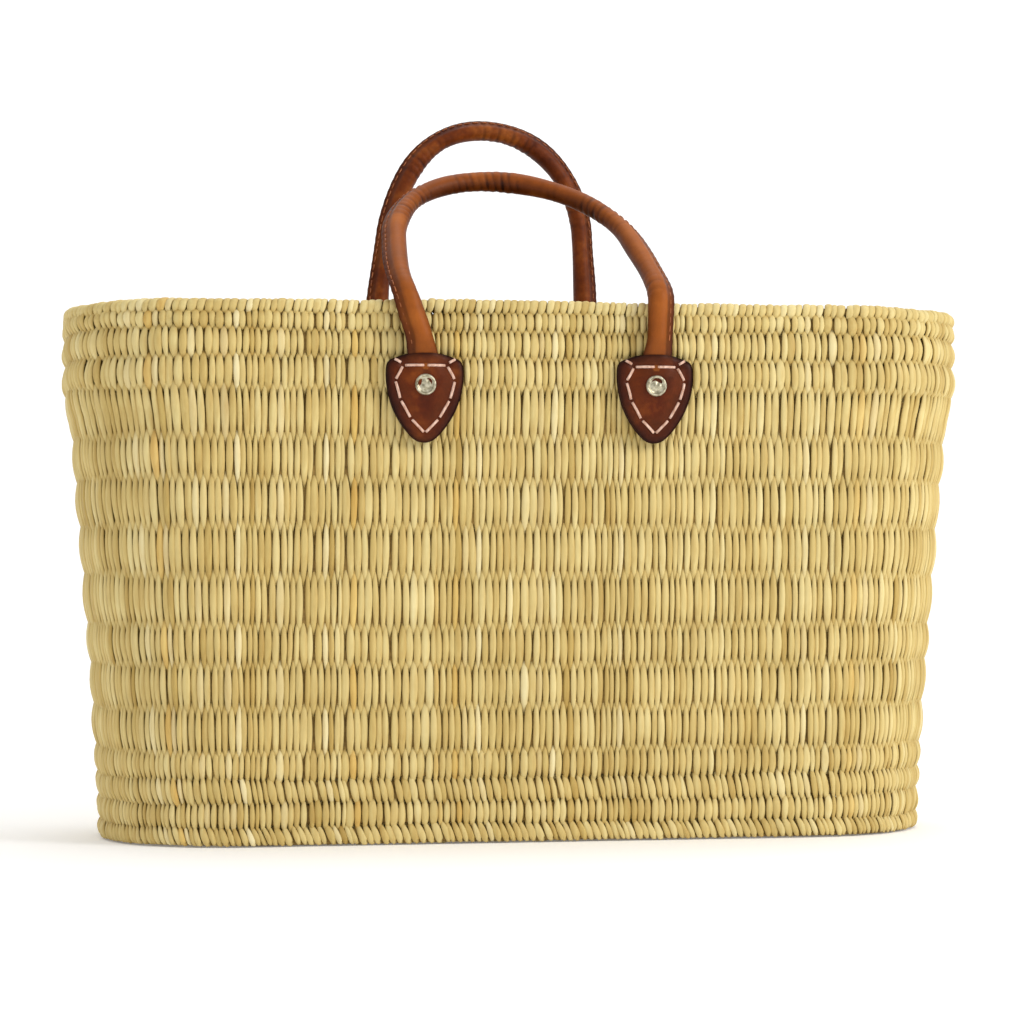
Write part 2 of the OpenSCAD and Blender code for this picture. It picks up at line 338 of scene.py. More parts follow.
def srgb(r, g, b):
    """Linear colour from 0-255 screen values."""
    return tuple(((v / 255 + 0.055) / 1.055) ** 2.4 if v > 10 else v / 255 / 12.92 for v in (r, g, b))


def attribute(tree, name):
    return add(tree, "ShaderNodeAttribute", attribute_name=name).outputs["Fac"]


def reed_material(name, flat=False):
    """Dry reed: every reed has its own straw tone, with fine grain along it; painted shade darkens its ends in the
    weave and its edges.
    """
    mat, tree, bsdf = new_material(name)
    tone, gold = attribute(tree, "tone"), attribute(tree, "gold")
    pale, deep = attribute(tree, "pale"), attribute(tree, "deep")
    colour = ramp(tree, tone, [(0.0, srgb(150, 122, 62)), (0.3, srgb(184, 158, 94)), (0.55, srgb(205, 183, 124)),
                               (0.8, srgb(220, 202, 148)), (1.0, srgb(234, 220, 176))])
    colour = mix(tree, gold, colour, srgb(212, 168, 78))
    colour = mix(tree, pale, colour, srgb(244, 232, 196))
    grain = noise(tree, 420, 4, (1, 1, 0.05) if not flat else (1, 0.08, 1))
    grain_colour = ramp(tree, grain, [(0.3, srgb(176, 146, 84)), (0.7, srgb(255, 247, 218))])
    colour = mix(tree, 0.46, colour, grain_colour, "SOFT_LIGHT")
    blotch = ramp(tree, noise(tree, 34, 3), [(0.32, (0.74, 0.70, 0.58)), (0.62, (1, 1, 1))])
    colour = mix(tree, 0.5, colour, blotch, "MULTIPLY")
    # Painted shade: darker towards the ends of each reed, where it passes into the weave, and along its edges
    shade = add(tree, "ShaderNodeMath", {0: deep, 1: 3.0}, operation="POWER").outputs[0]
    to_input(tree, mix(tree, shade, colour, srgb(140, 112, 46)), bsdf, "Base Color")
    roughness_from(tree, bsdf, grain, 0.48, 0.72)
    bump_from(tree, bsdf, grain, 0.35, 0.4 * MM)
    bsdf.inputs["Specular IOR Level"].default_value = 0.32
    return mat


def leather_material(name, dark, mid, light, edge, grain_scale, wear_and_highlight_share=0.55):
    """Vegetable-tanned leather: mottled dye, fine pores and creases; darker where "edge" is high (dark edges, and
    painted shade in creases and hollows), lighter with rubbed wear and painted highlight.
    """
    mat, tree, bsdf = new_material(name)
    cloud = noise(tree, 42, 4, rough=0.6)
    colour = ramp(tree, cloud, [(0.28, dark), (0.5, mid), (0.74, light)])
    fine = ramp(tree, noise(tree, 380, 3), [(0.35, (0.45, 0.45, 0.45)), (0.65, (1, 1, 1))])
    colour = mix(tree, 0.35, colour, fine, "MULTIPLY")
    # Rubbed wear and painted highlight: mixes towards the light colour
    wear = add(tree, "ShaderNodeMath", {0: attribute(tree, "wear"), 1: wear_and_highlight_share}, operation="MULTIPLY").outputs[0]
    colour = mix(tree, wear, colour, light)
    to_input(tree, mix(tree, attribute(tree, "edge"), colour, edge), bsdf, "Base Color")
    roughness_from(tree, bsdf, cloud, 0.36, 0.6)
    bsdf.inputs["Specular IOR Level"].default_value = 0.14
    coords = add(tree, "ShaderNodeTexCoord").outputs["Object"]
    pores = add(tree, "ShaderNodeTexVoronoi", {"Vector": coords, "Scale": grain_scale}, feature="DISTANCE_TO_EDGE")
    pored = bump_from(tree, None, pores.outputs["Distance"], 0.35, 0.3 * MM)
    bump_from(tree, bsdf, noise(tree, 120, 4, (1, 1, 0.35)), 0.3, 0.6 * MM, pored)
    return mat


def fibre_material(name, texture, stops, roughness, bump=None):
    """Plain coloured fibre. texture is the scale, detail and axes of its noise; bump a strength and distance."""
    mat, tree, bsdf = new_material(name)
    fibre = noise(tree, *texture)
    to_input(tree, ramp(tree, fibre, stops), bsdf, "Base Color")
    bsdf.inputs["Roughness"].default_value = roughness
    if bump:
        bump_from(tree, bsdf, fibre, *bump)
    return mat


def thread_material(name, dark, light):
    return fibre_material(name, (700, 2, (1, 1, 0.4)), [(0.3, dark), (0.7, light)], 0.6, (0.5, 0.2 * MM))


def metal_material():
    mat, tree, bsdf = new_material("worn_nickel")
    spots = noise(tree, 520, 4)
    colour = ramp(tree, spots, [(0.3, srgb(120, 112, 88)), (0.55, srgb(196, 188, 162)),
                                (0.8, srgb(228, 222, 202))])
    to_input(tree, colour, bsdf, "Base Color")
    bsdf.inputs["Metallic"].default_value = 0.9
    roughness_from(tree, bsdf, spots, 0.22, 0.46)
    bump_from(tree, bsdf, spots, 0.4, 0.3 * MM)
    return mat


REED = reed_material("reed")
REED_BASE = reed_material("reed_base", flat=True)
CORE = fibre_material("core_reed", (300, 3, (0.15, 0.15, 1)), [(0.3, srgb(112, 86, 36)), (0.7, srgb(162, 132, 70))],
                      0.85, (0.5, 0.6 * MM))
HANDLE = leather_material("handle_leather", srgb(72, 22, 2), srgb(122, 55, 11), srgb(174, 97, 34),
                          srgb(40, 9, 1), 900)
TAB = leather_material("tab_leather", srgb(46, 10, 0), srgb(88, 31, 3), srgb(144, 72, 18),
                       srgb(30, 6, 1), 800, 0.3)
THREAD = thread_material("waxed_thread", srgb(186, 138, 112), srgb(236, 200, 180))
SEAM_THREAD = thread_material("seam_thread", srgb(128, 66, 26), srgb(186, 108, 56))
ROPE = fibre_material("cotton_rope", (260, 3, (1, 1, 0.3)), [(0.3, srgb(176, 158, 120)), (0.7, srgb(232, 220, 190))],
                      0.9)
METAL = metal_material()


def finish_piece(obj, material, body="basket", nodes=()):
    """Material and body of a piece, and the CAD nodes that it stands for."""
    obj.data.materials.append(material)
    if body:
        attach(obj, body)
    if nodes:
        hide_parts(*nodes)


# ---------------------------------------------------------------- the weave
def even_count(length):
    """Number of reeds in this length: an even one, since every second reed passes outside."""
    return 2 * int(round(length / REED_PITCH / 2))


REEDS = even_count(PERIMETER)
# Reeds differ in width, so their places round the basket are uneven
spacing = np.clip(1 + 0.20 * rng.standard_normal(REEDS), 0.5, 1.6)
reed_f = np.cumsum(spacing) / spacing.sum()
reed_room = (np.roll(reed_f, -1) - np.roll(reed_f, 1)) % 1.0
tone = np.clip(0.60 + 0.10 * rng.standard_normal(REEDS), 0.05, 0.95)
gold = np.where(rng.random(REEDS) < 0.025, rng.uniform(0.2, 0.6, REEDS), 0.0)
pale = np.where(rng.random(REEDS) < 0.04, rng.uniform(0.1, 0.4, REEDS), 0.0)
# Sideways lean of the reeds in each row, so that some rows near the base slant
SLANT = {0: -4.2 * MM, 2: -2.4 * MM}


def edge_height(i, f):
    """Height of the lower edge of row i round the basket; the rows wander and climb to the left end."""
    if i == 0:
        return np.zeros_like(f)
    x = outline(f, 240 * MM, 90 * MM, CORNER)[0]
    share = row_edges[i] / RIM_Z
    climb = 2.6 * MM * min(1.0, 2.2 * share) * min(1.0, 2.4 * (1 - share) + 0.25)
    return row_edges[i] + wobble(f, i, WANDER) + climb * np.clip(-x / (250 * MM), 0, 1) ** 2


def rim_centre(f, below_rim):
    """Height of the middle of the rim, which wanders like the rows."""
    return RIM_Z - below_rim + wobble(f, 16, WANDER)


def spindle(t):
    """0 at the ends of the visible stretch of a reed, 1 in its middle."""
    return np.sin(math.pi * np.clip((t + REACH) / (1 + 2 * REACH), 0, 1))


def varied(count):
    """One random number for each strand."""
    return rng.standard_normal((count, 1))


def wall_points(f, hw, hd, depth, z):
    """Points at this depth and height round the wall, and the wall's outward normals there."""
    x, y, nx, ny = outline(f, hw, hd, CORNER)
    return np.stack([x + nx * depth, y + ny * depth, z], -1), np.stack([nx, ny, np.zeros_like(nx)], -1)


def across_strand(centre, out):
    """Sideways direction of each strand, square to its run and to its outer face."""
    return unit(np.cross(np.gradient(centre, axis=1), out))


def reed_row(i, shift):
    """One row of the wall: every second reed passes outside its core hoop, the others inside."""
    t = np.linspace(-REACH, 1 + REACH, RINGS)[None, :]
    outside = np.where((np.arange(REEDS) + i) % 2 == 0, 1.0, -1.0)[:, None]
    f0 = (reed_f + shift)[:, None]
    low, high = edge_height(i, f0), edge_height(i + 1, f0)
    jitter = 0.5 * MM * varied(REEDS)
    z = np.maximum(low + (high - low) * t + jitter * spindle(t), FLOOR_GAP)
    lean = SLANT.get(i, 0.0) + 0.28 * MM * varied(REEDS)
    f = f0 + lean * (t - 0.5) / PERIMETER
    wall = BAND_T if i >= BAND_FIRST else WALL_T
    swell = spindle(t) ** 0.95
    depth = -wall / 2 + outside * (wall / 2 - REED_T / 2) * swell
    depth = depth + outside * swell * 0.28 * MM * varied(REEDS) + wobble(f, 40, 0.5 * MM)
    centre, normal = wall_points(f, hw_at(z), hd_at(z), depth, z)
    normal = normal * outside[..., None]
    room = reed_room[:, None] * PERIMETER * stretch(f, hw_at(z), hd_at(z), CORNER)
    half_w = room * (0.10 + 0.42 * spindle(t) ** 0.9) * (1 + 0.05 * varied(REEDS))
    half_t = REED_T / 2 * (0.70 + 0.45 * spindle(t)) * np.ones((REEDS, 1))
    # Painted shade: each reed darkens towards the ends of its visible stretch, where it passes into the weave
    facts = {"tone": np.clip(tone[:, None] + 0.06 * varied(REEDS), 0, 1) + 0 * t,
             "gold": gold[:, None] + 0 * t, "pale": pale[:, None] + 0 * t,
             "deep": (1 - spindle(t)) * np.ones((REEDS, 1))}
    across = across_strand(centre, normal)
    return tubes(f"reeds_row_{i + 1:02d}", centre, across, normal, half_w, half_t, facts)


def rim_wraps():
    """Short slanted wraps over the rim, one for every second reed."""
    pick = np.arange(0, REEDS, 2)
    count = len(pick)
    turn = np.radians(np.linspace(-62, 242, 17))[None, :]
    f0 = reed_f[pick][:, None]
    f = f0 + 2.6 * MM * (np.clip(turn / math.pi, -0.35, 1.35) - 0.2) / PERIMETER
    top = rim_centre(f, 4.0 * MM) + 0.15 * MM * varied(count)
    below = np.clip(-np.sin(turn), 0, 1)
    depth = -BAND_T / 2 + (BAND_T / 2 - 0.95 * MM) * np.cos(turn) * (1 - 0.1 * below) + 0 * f
    z = top + np.where(np.sin(turn) > 0, 3.1 * MM, 4.6 * MM) * np.sin(turn)
    centre, flat = wall_points(f, BAND_HW, BAND_HD, depth, z)
    out = unit(flat * np.cos(turn)[..., None] + UPRIGHT * np.clip(np.sin(turn), 0, 1)[..., None])
    room = reed_room[pick][:, None] * PERIMETER * 1.08 * stretch(f, BAND_HW, BAND_HD, CORNER)
    half_w = room * (0.49 - 0.30 * below ** 1.5)
    half_t = REED_T / 2 * np.ones((count, 1)) * (1 - 0.25 * below)
    # Painted shade on the part of each wrap that turns under the rim
    facts = {"tone": np.clip(tone[pick][:, None] + 0.06, 0, 1) + 0 * turn,
             "gold": gold[pick][:, None] + 0 * turn, "pale": pale[pick][:, None] + 0 * turn,
             "deep": np.ones((count, 1)) * 0.9 * below}
    return tubes("rim_wraps", centre, across_strand(centre, out), out, half_w, half_t, facts)


def core_ring(node, hw, hd, r, height_at, depth, half_in, half_up, count=240):
    """Core hoop of oval section, round the wall or flat in the base, in place of its CAD node."""
    f = (np.arange(count) / count)[None, :]
    x, y, nx, ny = outline(f, hw, hd, r, quarter_length(hw, hd, r))
    centre = np.stack([x + nx * depth, y + ny * depth, height_at(f)], -1)
    normal = np.stack([nx, ny, 0 * nx], -1)
    sizes = half_up * np.ones_like(f), half_in * np.ones_like(f)
    ring = tubes(node + "_rod", centre, 0 * normal + UPRIGHT, normal, *sizes, {}, round_angles(12), True)
    finish_piece(ring, CORE, nodes=[node])


shift = 0.0
for i in range(len(ROWS)):
    piece = reed_row(i, shift)
    shift += SLANT.get(i, 0.0) / PERIMETER
    finish_piece(piece, REED, nodes=["wall_reeds"] if i == 0 else ())

finish_piece(rim_wraps(), REED, nodes=["rim_binding"])

for i, hoop in enumerate(hoop_names):
    thick = BAND_T if i >= BAND_FIRST else WALL_T
    middle = mids[i]
    core_ring(hoop, float(hw_at(middle)), float(hd_at(middle)), CORNER,
              lambda f, i=i: (edge_height(i, f) + edge_height(i + 1, f)) / 2, -thick / 2,
              thick / 2 - REED_T - 0.15 * MM, (ROWS[i][1] - ROWS[i][0]) / 2 - 0.9 * MM)

core_ring("rim_core", BAND_HW, BAND_HD, CORNER, lambda f: rim_centre(f, 4.1 * MM), -BAND_T / 2,
          BAND_T / 2 - REED_T - 0.1 * MM, 2.2 * MM)


# ---------------------------------------------------------------- the base mat
BASE_REACH = 0.10            # a reed of the base stays in sight this share of its ring's width beyond it
BASE_ROD_UP = 1.75 * MM      # half the height of the cores in the base
BASE_COVER = 2 * MM          # the reeds reach this far past a core on every side


def base_strands(name, centre_of, count, width, nodes=()):
    """Reeds that cross a flat core, alternately under and over it. centre_of(strand, inward) gives points."""
    t = np.linspace(-BASE_REACH, 1 + BASE_REACH, RINGS)[None, :]
    under = np.where(np.arange(count) % 2 == 0, -1.0, 1.0)[:, None]
    swell = np.sin(math.pi * np.clip((t + BASE_REACH) / (1 + 2 * BASE_REACH), 0, 1))
    points, room = centre_of(np.arange(count)[:, None], (t - 0.5) * width)
    z = BASE_T / 2 + under * (BASE_T / 2 - REED_T / 2 - 0.2 * MM) * swell ** 0.75
    centre = np.concatenate([points, z[..., None]], -1)
    normal = 0 * centre + under[..., None] * UPRIGHT
    half_w = room * (0.46 + 0.50 * swell ** 0.55)
    half_t = REED_T / 2 * (0.75 + 0.3 * swell) * np.ones((count, 1))
    # Painted shade towards the ends of each reed, where it passes into the weave
    facts = {"tone": np.clip(0.48 + 0.18 * varied(count), 0, 1) + 0 * t,
             "gold": np.where(rng.random((count, 1)) < 0.04, 0.6, 0) + 0 * t,
             "pale": np.where(rng.random((count, 1)) < 0.05, 0.5, 0) + 0 * t,
             "deep": (1 - swell) * np.ones((count, 1))}
    reeds = tubes(name, centre, across_strand(centre, normal), normal, half_w, half_t, facts)
    finish_piece(reeds, REED_BASE, nodes=nodes)


base_nodes = sorted(n for n in frame["nodes"] if n.startswith("base_core_ring_")) + ["base_core_bar"]
base_high = [node_box(n)[1][:2] + BASE_COVER for n in base_nodes]
mat_hw = node_box("base_reeds")[1][0]
for k, node in enumerate(base_nodes[:-1]):
    width = float(base_high[k][0] - base_high[k + 1][0])
    hw, hd = (float(v) for v in (base_high[k] + base_high[k + 1]) / 2)
    r = max(CORNER - WALL_T - (mat_hw - hw), 6 * MM)
    run = quarter_length(hw, hd, r)
    count = even_count(4 * run)

    def ring_points(j, inward, hw=hw, hd=hd, r=r, run=run, count=count):
        x, y, nx, ny = outline(j / count, hw, hd, r, run)
        points = np.stack([x - nx * inward, y - ny * inward], -1)
        return points, 4 * run / count * (1 - 0.45 * np.clip(inward / r, -0.4, 0.4))

    base_strands(f"base_reeds_{k + 1}", ring_points, count, width, ["base_reeds"] if k == 0 else ())
    core_ring(node, hw, hd, r, lambda f: BASE_T / 2 + 0 * f, 0.0, width / 2 - 1.5 * MM, BASE_ROD_UP)

bar_hw, bar_hd = (float(v) for v in base_high[-1])
bar_count = even_count(2 * bar_hw)


def bar_points(j, inward):
    x = -bar_hw + 2 * bar_hw * (j + 0.5) / bar_count + 0 * inward
    return np.stack([x, inward + 0 * x], -1), REED_PITCH


base_strands("base_reeds_middle", bar_points, bar_count, 2 * bar_hd)
bar_x = np.linspace(-bar_hw + BASE_COVER, bar_hw - BASE_COVER, 60)[None, :]
bar_centre = np.stack([bar_x, 0 * bar_x, 0 * bar_x + BASE_T / 2], -1)
bar = tubes("base_core_bar_rod", bar_centre, 0 * bar_centre + UPRIGHT, 0 * bar_centre + np.array([0.0, 1.0, 0.0]),
            BASE_ROD_UP + 0 * bar_x, bar_hd - BASE_COVER + 0 * bar_x, {}, round_angles(12))
finish_piece(bar, CORE, nodes=["base_core_bar"])


# ---------------------------------------------------------------- handles
HINGE_Y, HINGE_Z = next(j["pos_m"][1:] for j in frame["record"]["behaviour"]["joints"]
                        if j["name"] == "back_handle_bend")
COVER_TOP = node_box("back_handle_cover")[1]
LOOP_R = float(COVER_TOP[0]) - TUBE_R - SEAM_OUT
LEG = float(COVER_TOP[2]) - HINGE_Z - LOOP_R - TUBE_R - SEAM_OUT
RIVET_Z = float(sum(b[2] for b in node_box("rivets"))) / 2
TAB_TOP = RIVET_Z + TAB_EDGE
# The front handle rests leaning over the basket, the back one upright
LEANS = {"front": math.atan2(0.7986, 0.6018), "back": 0.0}
SWAY = {"front": -13 * MM, "back": 0.5 * MM}  # how far the top of each handle stands to one side
SWAY_FROM = 25 * MM          # the sway begins this far before the bend
# How far the left and the right leg bow outwards, and where: distance past the bend, reach before and after it
BOW = {"front": (8.5 * MM, 3.5 * MM), "back": (-7.5 * MM, -2.5 * MM)}
BOW_AT = {"front": (10 * MM, 50 * MM, 75 * MM), "back": (74 * MM, 66 * MM, 74 * MM)}


def lean_at(rise, lean):
    """How far a handle leans at this distance beyond its bend."""
    return lean / (1 + np.exp(-3.2 * rise / BEND_SOFT))


def handle_path(side, step=0.9 * MM):
    """Centre line from under one tab, over the grip, to under the other; with directions and distances."""
    foot = HINGE_Z - TAB_TOP + UNDER_TAB
    arc = math.pi * LOOP_R
    length = 2 * (foot + LEG) + arc
    s = np.linspace(0, length, int(length / step))
    past_bend = np.minimum(s, length - s) - foot     # distance beyond the bend along the nearer leg
    on_leg, left = past_bend < LEG, s < length / 2
    on_arc = np.clip((s - foot - LEG) / arc, 0, 1) * math.pi
    rise = np.where(on_leg, past_bend, LEG + LOOP_R * np.sin(on_arc))
    peak, before, after = BOW_AT[side]
    off_peak = past_bend - peak
    bow = np.cos(math.pi / 2 * np.clip(off_peak / np.where(off_peak < 0, before, after), -1, 1)) ** 2
    bow = bow * np.where(left, -BOW[side][0], BOW[side][1])
    sway = SWAY[side] * np.clip((rise + SWAY_FROM) / (LEG + LOOP_R + SWAY_FROM), 0, 1) ** 1.2
    x = -LOOP_R * np.cos(on_arc) + bow + sway
    outward = np.stack([np.where(on_leg, np.where(left, -1, 1), -np.cos(on_arc)),
                        np.where(on_leg, 0, np.sin(on_arc))], -1)
    # Turn the part beyond the bend by the handle's lean, in one smooth curve
    lean = LEANS[side]
    bend_rise = np.linspace(-foot, LEG + LOOP_R, 600)
    angle = lean_at(bend_rise, lean)
    gap = bend_rise[1] - bend_rise[0]
    y_run, z_run = np.cumsum(np.sin(angle)) * gap, np.cumsum(np.cos(angle)) * gap
    y_off = np.interp(LEG, bend_rise, y_run) - LEG * math.sin(lean)
    z_off = np.interp(LEG, bend_rise, z_run) - LEG * math.cos(lean)
    below = np.clip(-rise / (6 * MM), 0, 1)
    inward = (np.interp(rise, bend_rise, y_run) - y_off) * (1 - below)
    height = (np.interp(rise, bend_rise, z_run) - z_off) * (1 - below) + rise * below
    return s, x, rise, inward, height, lean_at(rise, lean), outward


def handle_frames(side):
    """World centre, outward (away from the middle of the loop) and face (away from the basket) directions."""
    sign = SIDES[side]
    s, x, rise, inward, height, lean, outward = handle_path(side)
    # The end inside the tab lies closer to the wall
    sink = smooth_step((TAB_TOP + 9 * MM - (HINGE_Z + height)) / (13 * MM)) * (rise < 0)
    y = HINGE_Y - inward - 2.2 * MM * sink
    centre = np.stack([x, sign * y, HINGE_Z + height], -1)
    up = np.stack([0 * x, -sign * np.sin(lean), np.cos(lean)], -1)
    face = np.stack([0 * x, sign * np.cos(lean), np.sin(lean)], -1)
    out = outward[:, :1] * np.array([1.0, 0, 0]) + outward[:, 1:] * up
    return s, centre, out, face, rise, sink


def handle_leather(side):
    """Round cover with creases, and a pinched seam along its outer side."""
    s, centre, out, face, rise, sink = handle_frames(side)
    s, top, sink = s[:, None], np.clip((rise - LEG) / LOOP_R, 0, 1)[:, None], sink[:, None]
    a = round_angles(36)[None, :]
    from_seam = np.abs((a + math.pi) % (2 * math.pi) - math.pi)
    phase = 2.1 if side == "front" else 0.4
    seam_size = SEAM_OUT * (1 - 0.45 * top) * (1 - 0.6 * sink)
    seam_size = seam_size * (0.86 + 0.03 * np.sin(s * 2 * math.pi / (5 * MM)))
    pinch = np.exp(-(from_seam / 0.34) ** 2)
    swell = 0.14 * np.exp(-((rise[:, None] + 14 * MM) / (22 * MM)) ** 2)
    uneven = 0.05 * np.sin(s * 61 + phase) + 0.03 * np.sin(s * 143 + 2 * phase)
    radius = 1.05 * TUBE_R * (1 + swell + uneven)
    # Creases run slantwise across the grip, deepest on its inner side and near the bends
    bent = np.exp(-((rise[:, None] / (12 * MM)) ** 2)) * 0.5 + top ** 0.5 * 0.9 + 0.10
    wave = np.sin(s * 2 * math.pi / (4.4 * MM) + 2.2 * np.sin(a) + phase)
    wave = wave + 0.5 * np.sin(s * 2 * math.pi / (9.7 * MM) - 1.3 * np.sin(a) + 2 * phase)
    patchy = 0.55 + 0.6 * np.sin(s * 97 + phase) + 0.35 * np.sin(s * 233 + 3 * phase)
    wave = wave * np.clip(patchy, 0.05, 1.3)
    creased = wave * bent * (1 - pinch) * (0.55 + 0.45 * (np.cos(a) < 0.2))
    neck = np.exp(-((from_seam - 0.62) / 0.22) ** 2)
    r = radius + 0.14 * MM * creased - 0.30 * MM * neck
    along_out = (r * np.cos(a) * 0.98 + pinch * seam_size) * (1 + 0.34 * sink)
    along_face = r * np.sin(a) * (1 - 0.70 * pinch) * (1 - 0.58 * sink)
    verts = (centre[:, None, :] + out[:, None, :] * along_out[..., None]
             + face[:, None, :] * along_face[..., None])
    # Darker along the seam, and painted shade in the hollows of the creases, in the groove beside the seam, where the
    # end sinks under its tab and on the inner side of the loop
    edge = np.clip(pinch * 0.75 + 0.9 * np.clip(-0.42 * creased, 0, 1)
                   + 0.5 * np.exp(-((from_seam - 0.62) / 0.2) ** 2) + 0.3 * sink
                   + 0.5 * np.clip(-np.cos(a), 0, 1) ** 4, 0, 1)
    # Painted highlight: lighter on the side facing away from the basket, less over the grip and none along the seam
    wear = np.clip((np.sin(a) * 0.75 + 0.25) * (1 - pinch), 0, 1) * (1 - 0.45 * top)
    return mesh_object(f"{side}_handle_leather", verts.reshape(-1, 3), *grid_faces(*verts.shape[:2]),
                       facts={"edge": edge, "wear": wear})


def handle_core(side):
    s, centre, out, face, rise, sink = handle_frames(side)
    keep = rise > -(HINGE_Z - TAB_TOP) + 3 * MM
    c, o, f = centre[keep][None], out[keep][None], face[keep][None]
    wide = np.full(c.shape[:2], ROPE_R)
    flat = wide * (1 - 0.5 * sink[keep])[None]
    return tubes(f"{side}_handle_rope_core", c, o, f, wide, flat, {}, round_angles(12))


def handle_stitches(side):
    """Running stitch close to the edge of the seam, on both of its faces."""
    s, centre, out, face, rise, sink = handle_frames(side)
    begin, stop = s[0] + UNDER_TAB + 3 * MM, s[-1] - UNDER_TAB - 3 * MM
    pitch = 4.6 * MM
    number = int((stop - begin) / pitch)
    t = np.linspace(0, 1, 6)
    at = begin + (np.arange(number)[:, None] + 0.1 + 0.72 * t[None, :]) * pitch
    c, o, f = (np.stack([np.interp(at, s, values[:, k]) for k in range(3)], -1)
               for values in (centre, out, face))
    top = np.clip((np.interp(at, s, rise) - LEG) / LOOP_R, 0, 1)
    reach = TUBE_R + SEAM_OUT * 0.30 * (1 - 0.5 * top)
    dive = np.sin(math.pi * t)[None, :] ** 0.6
    lift = (1.05 * MM + 0.55 * MM * dive)[..., None]
    where = np.concatenate([c + o * reach[..., None] + f * flip * lift for flip in (-1, 1)])
    thick = np.full(where.shape[:2], SEAM_THREAD_R)
    return tubes(f"{side}_handle_stitches", where, np.concatenate([o, o]), np.concatenate([-f, f]), thick, thick,
                 {}, round_angles(8))


def bend_with_joint(obj):
    """Bakes the piece's placement into its mesh."""
    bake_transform(obj)


for side in SIDES:
    feet = [f"{side}_{end}_handle_foot" for end in ENDS]
    cover = handle_leather(side)
    finish_piece(cover, HANDLE, None, [f"{side}_handle_cover"] + feet)
    core = handle_core(side)
    finish_piece(core, ROPE, None, [f"{side}_handle_rope"])
    seam = handle_stitches(side)
    finish_piece(seam, SEAM_THREAD, None, [f"{side}_handle_seam_thread"])
    for obj in (cover, core, seam):
        bend_with_joint(obj)


# ---------------------------------------------------------------- tabs
TAB_Y = float(BAND_HD) + 0.6 * MM  # back of a tab, on the crests of the rim band
TAB_CENTRE = -3 * MM         # height of a tab's middle about its rivet


def tab_outline(count=120):
    """Outline of a tab about its rivet: an arched top, low corners, full shoulders and a rounded tip."""
    a = round_angles(count)
    dx, dz = np.sin(a), np.cos(a)
    shoulder, arc = 5.2 * MM, 44.6 * MM
    reach = np.full(count, 60 * MM)
    for k in range(count):
        # Distance from the centre to the nearest of the two long side arcs, the top and the tip
        for side_x in (-1, 1):
            cx, cz = side_x * (TAB_W / 2 - arc), shoulder - TAB_CENTRE
            b = dx[k] * cx + dz[k] * cz
            reach[k] = min(reach[k], b + math.sqrt(b * b - cx * cx - cz * cz + arc * arc))
        if dz[k] > 0:
            # The top edge falls away towards the corners
            drop = 3.4 * MM * min(abs(dx[k] / dz[k]), 1.0) ** 2
            reach[k] = min(reach[k], (TAB_EDGE - TAB_CENTRE - drop) / dz[k])
        if dz[k] < 0:
            reach[k] = min(reach[k], (TAB_TIP + TAB_CENTRE) / -dz[k])
    for _ in range(5):
        reach = (np.roll(reach, 1) + 2 * reach + np.roll(reach, -1)) / 4
    return dx * reach, dz * reach + TAB_CENTRE


# Corners of half the stitched line, and the short stitch at each upper corner, in mm about the rivet
STITCH_LINE = [(0, 9.8), (11.2, 9.8), (15.4, 2.2), (12.7, -7.7), (7.2, -17.3), (0, -24.7)]
EAR = [(11.7, 10.8), (16.4, 13.6)]


def tab_stitches():
    """Start and end of each stitch about the rivet, in metres, both halves of the tab."""
    runs = []
    for a, b in list(zip(STITCH_LINE[:-1], STITCH_LINE[1:])) + [tuple(EAR)]:
        a, b = np.array(a) * MM, np.array(b) * MM
        trim = 0.8 * MM * unit(b - a)
        for flip in (-1, 1):
            mirror = np.array([flip, 1])
            runs.append(((a + trim) * mirror, (b - trim) * mirror))
    return runs


def wall_fall(z):
    """How far the tab leans in to meet the wall below the rim band; z is the height about the rivet."""
    return 0.115 * np.clip(-3 * MM - z, 0, None)


def tab_relief(x, z, edge_gap, dimples=True):
    """Height of the outer face of a tab over its lower edge."""
    relief = 1.9 * MM * (1 - np.exp(-edge_gap / (0.8 * MM)))
    relief = relief + 1.0 * MM * np.clip((edge_gap - 5 * MM) / (7 * MM), 0, 1) ** 0.8
    # The flat end of the handle lifts the collar above the top row of stitches
    over = np.exp(-(x / (8.2 * MM)) ** 4)
    relief = relief + 2.9 * MM * over * np.clip((z - 7 * MM) / (8 * MM), 0, 1)
    relief = relief + 0.9 * MM * over * np.clip((z + 8 * MM) / (14 * MM), 0, 1)
    groove = np.exp(-((z - STITCH_LINE[0][1] * MM) / (1.3 * MM)) ** 2) * (np.abs(x) < 13 * MM)
    relief = relief - 0.45 * MM * groove
    if dimples:
        for a, b in tab_stitches():
            for hole in (a, b):
                near = ((x - hole[0]) ** 2 + (z - hole[1]) ** 2) / (1.15 * MM) ** 2
                relief = relief - 0.55 * MM * np.exp(-near)
    return relief


